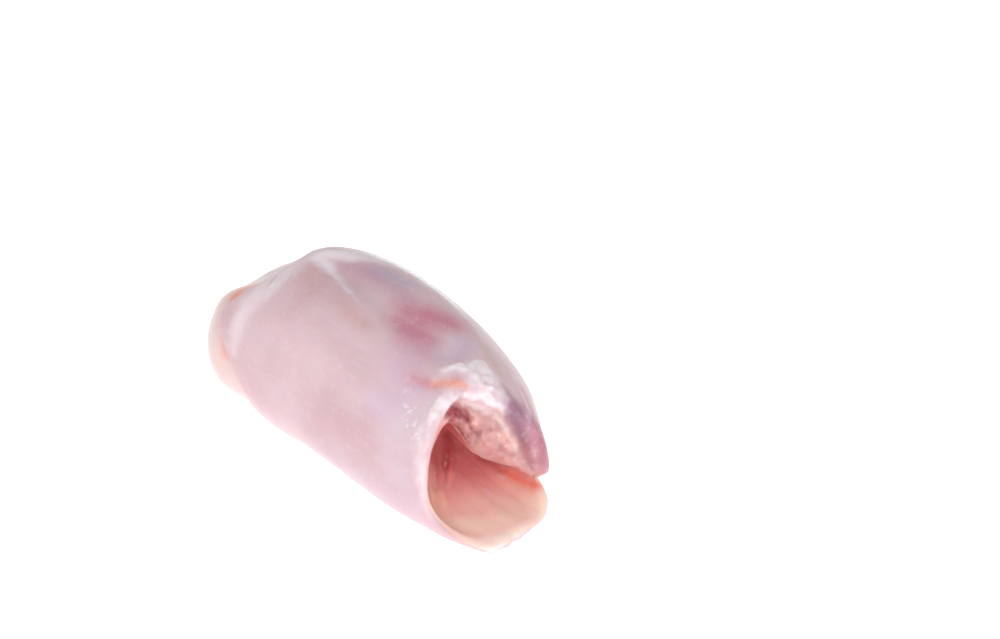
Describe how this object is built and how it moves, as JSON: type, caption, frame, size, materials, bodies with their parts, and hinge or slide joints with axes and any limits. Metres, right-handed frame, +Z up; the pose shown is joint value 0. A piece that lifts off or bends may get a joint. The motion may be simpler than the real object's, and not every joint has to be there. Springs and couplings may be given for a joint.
{
  "type": "raw chicken thigh",
  "caption": "Raw boneless, skinless chicken thigh: pale pink meat folded over into a plump roll, with an open pocket at one end and white fat along the lip",
  "frame": {"origin": "middle of the bounding box in plan, at the height of the surface it lies on", "axes": "+X runs along the roll from its blunt closed end to the open pocket, +Y is the side of the free flap and its seam, +Z is up"},
  "size_m": [0.1084, 0.0542, 0.0413],
  "materials": {
    "raw_meat": "moist, softly glossy"
  },
  "bodies": {
    "root": {"thigh": "raw_meat"}
  },
  "joints": []
}
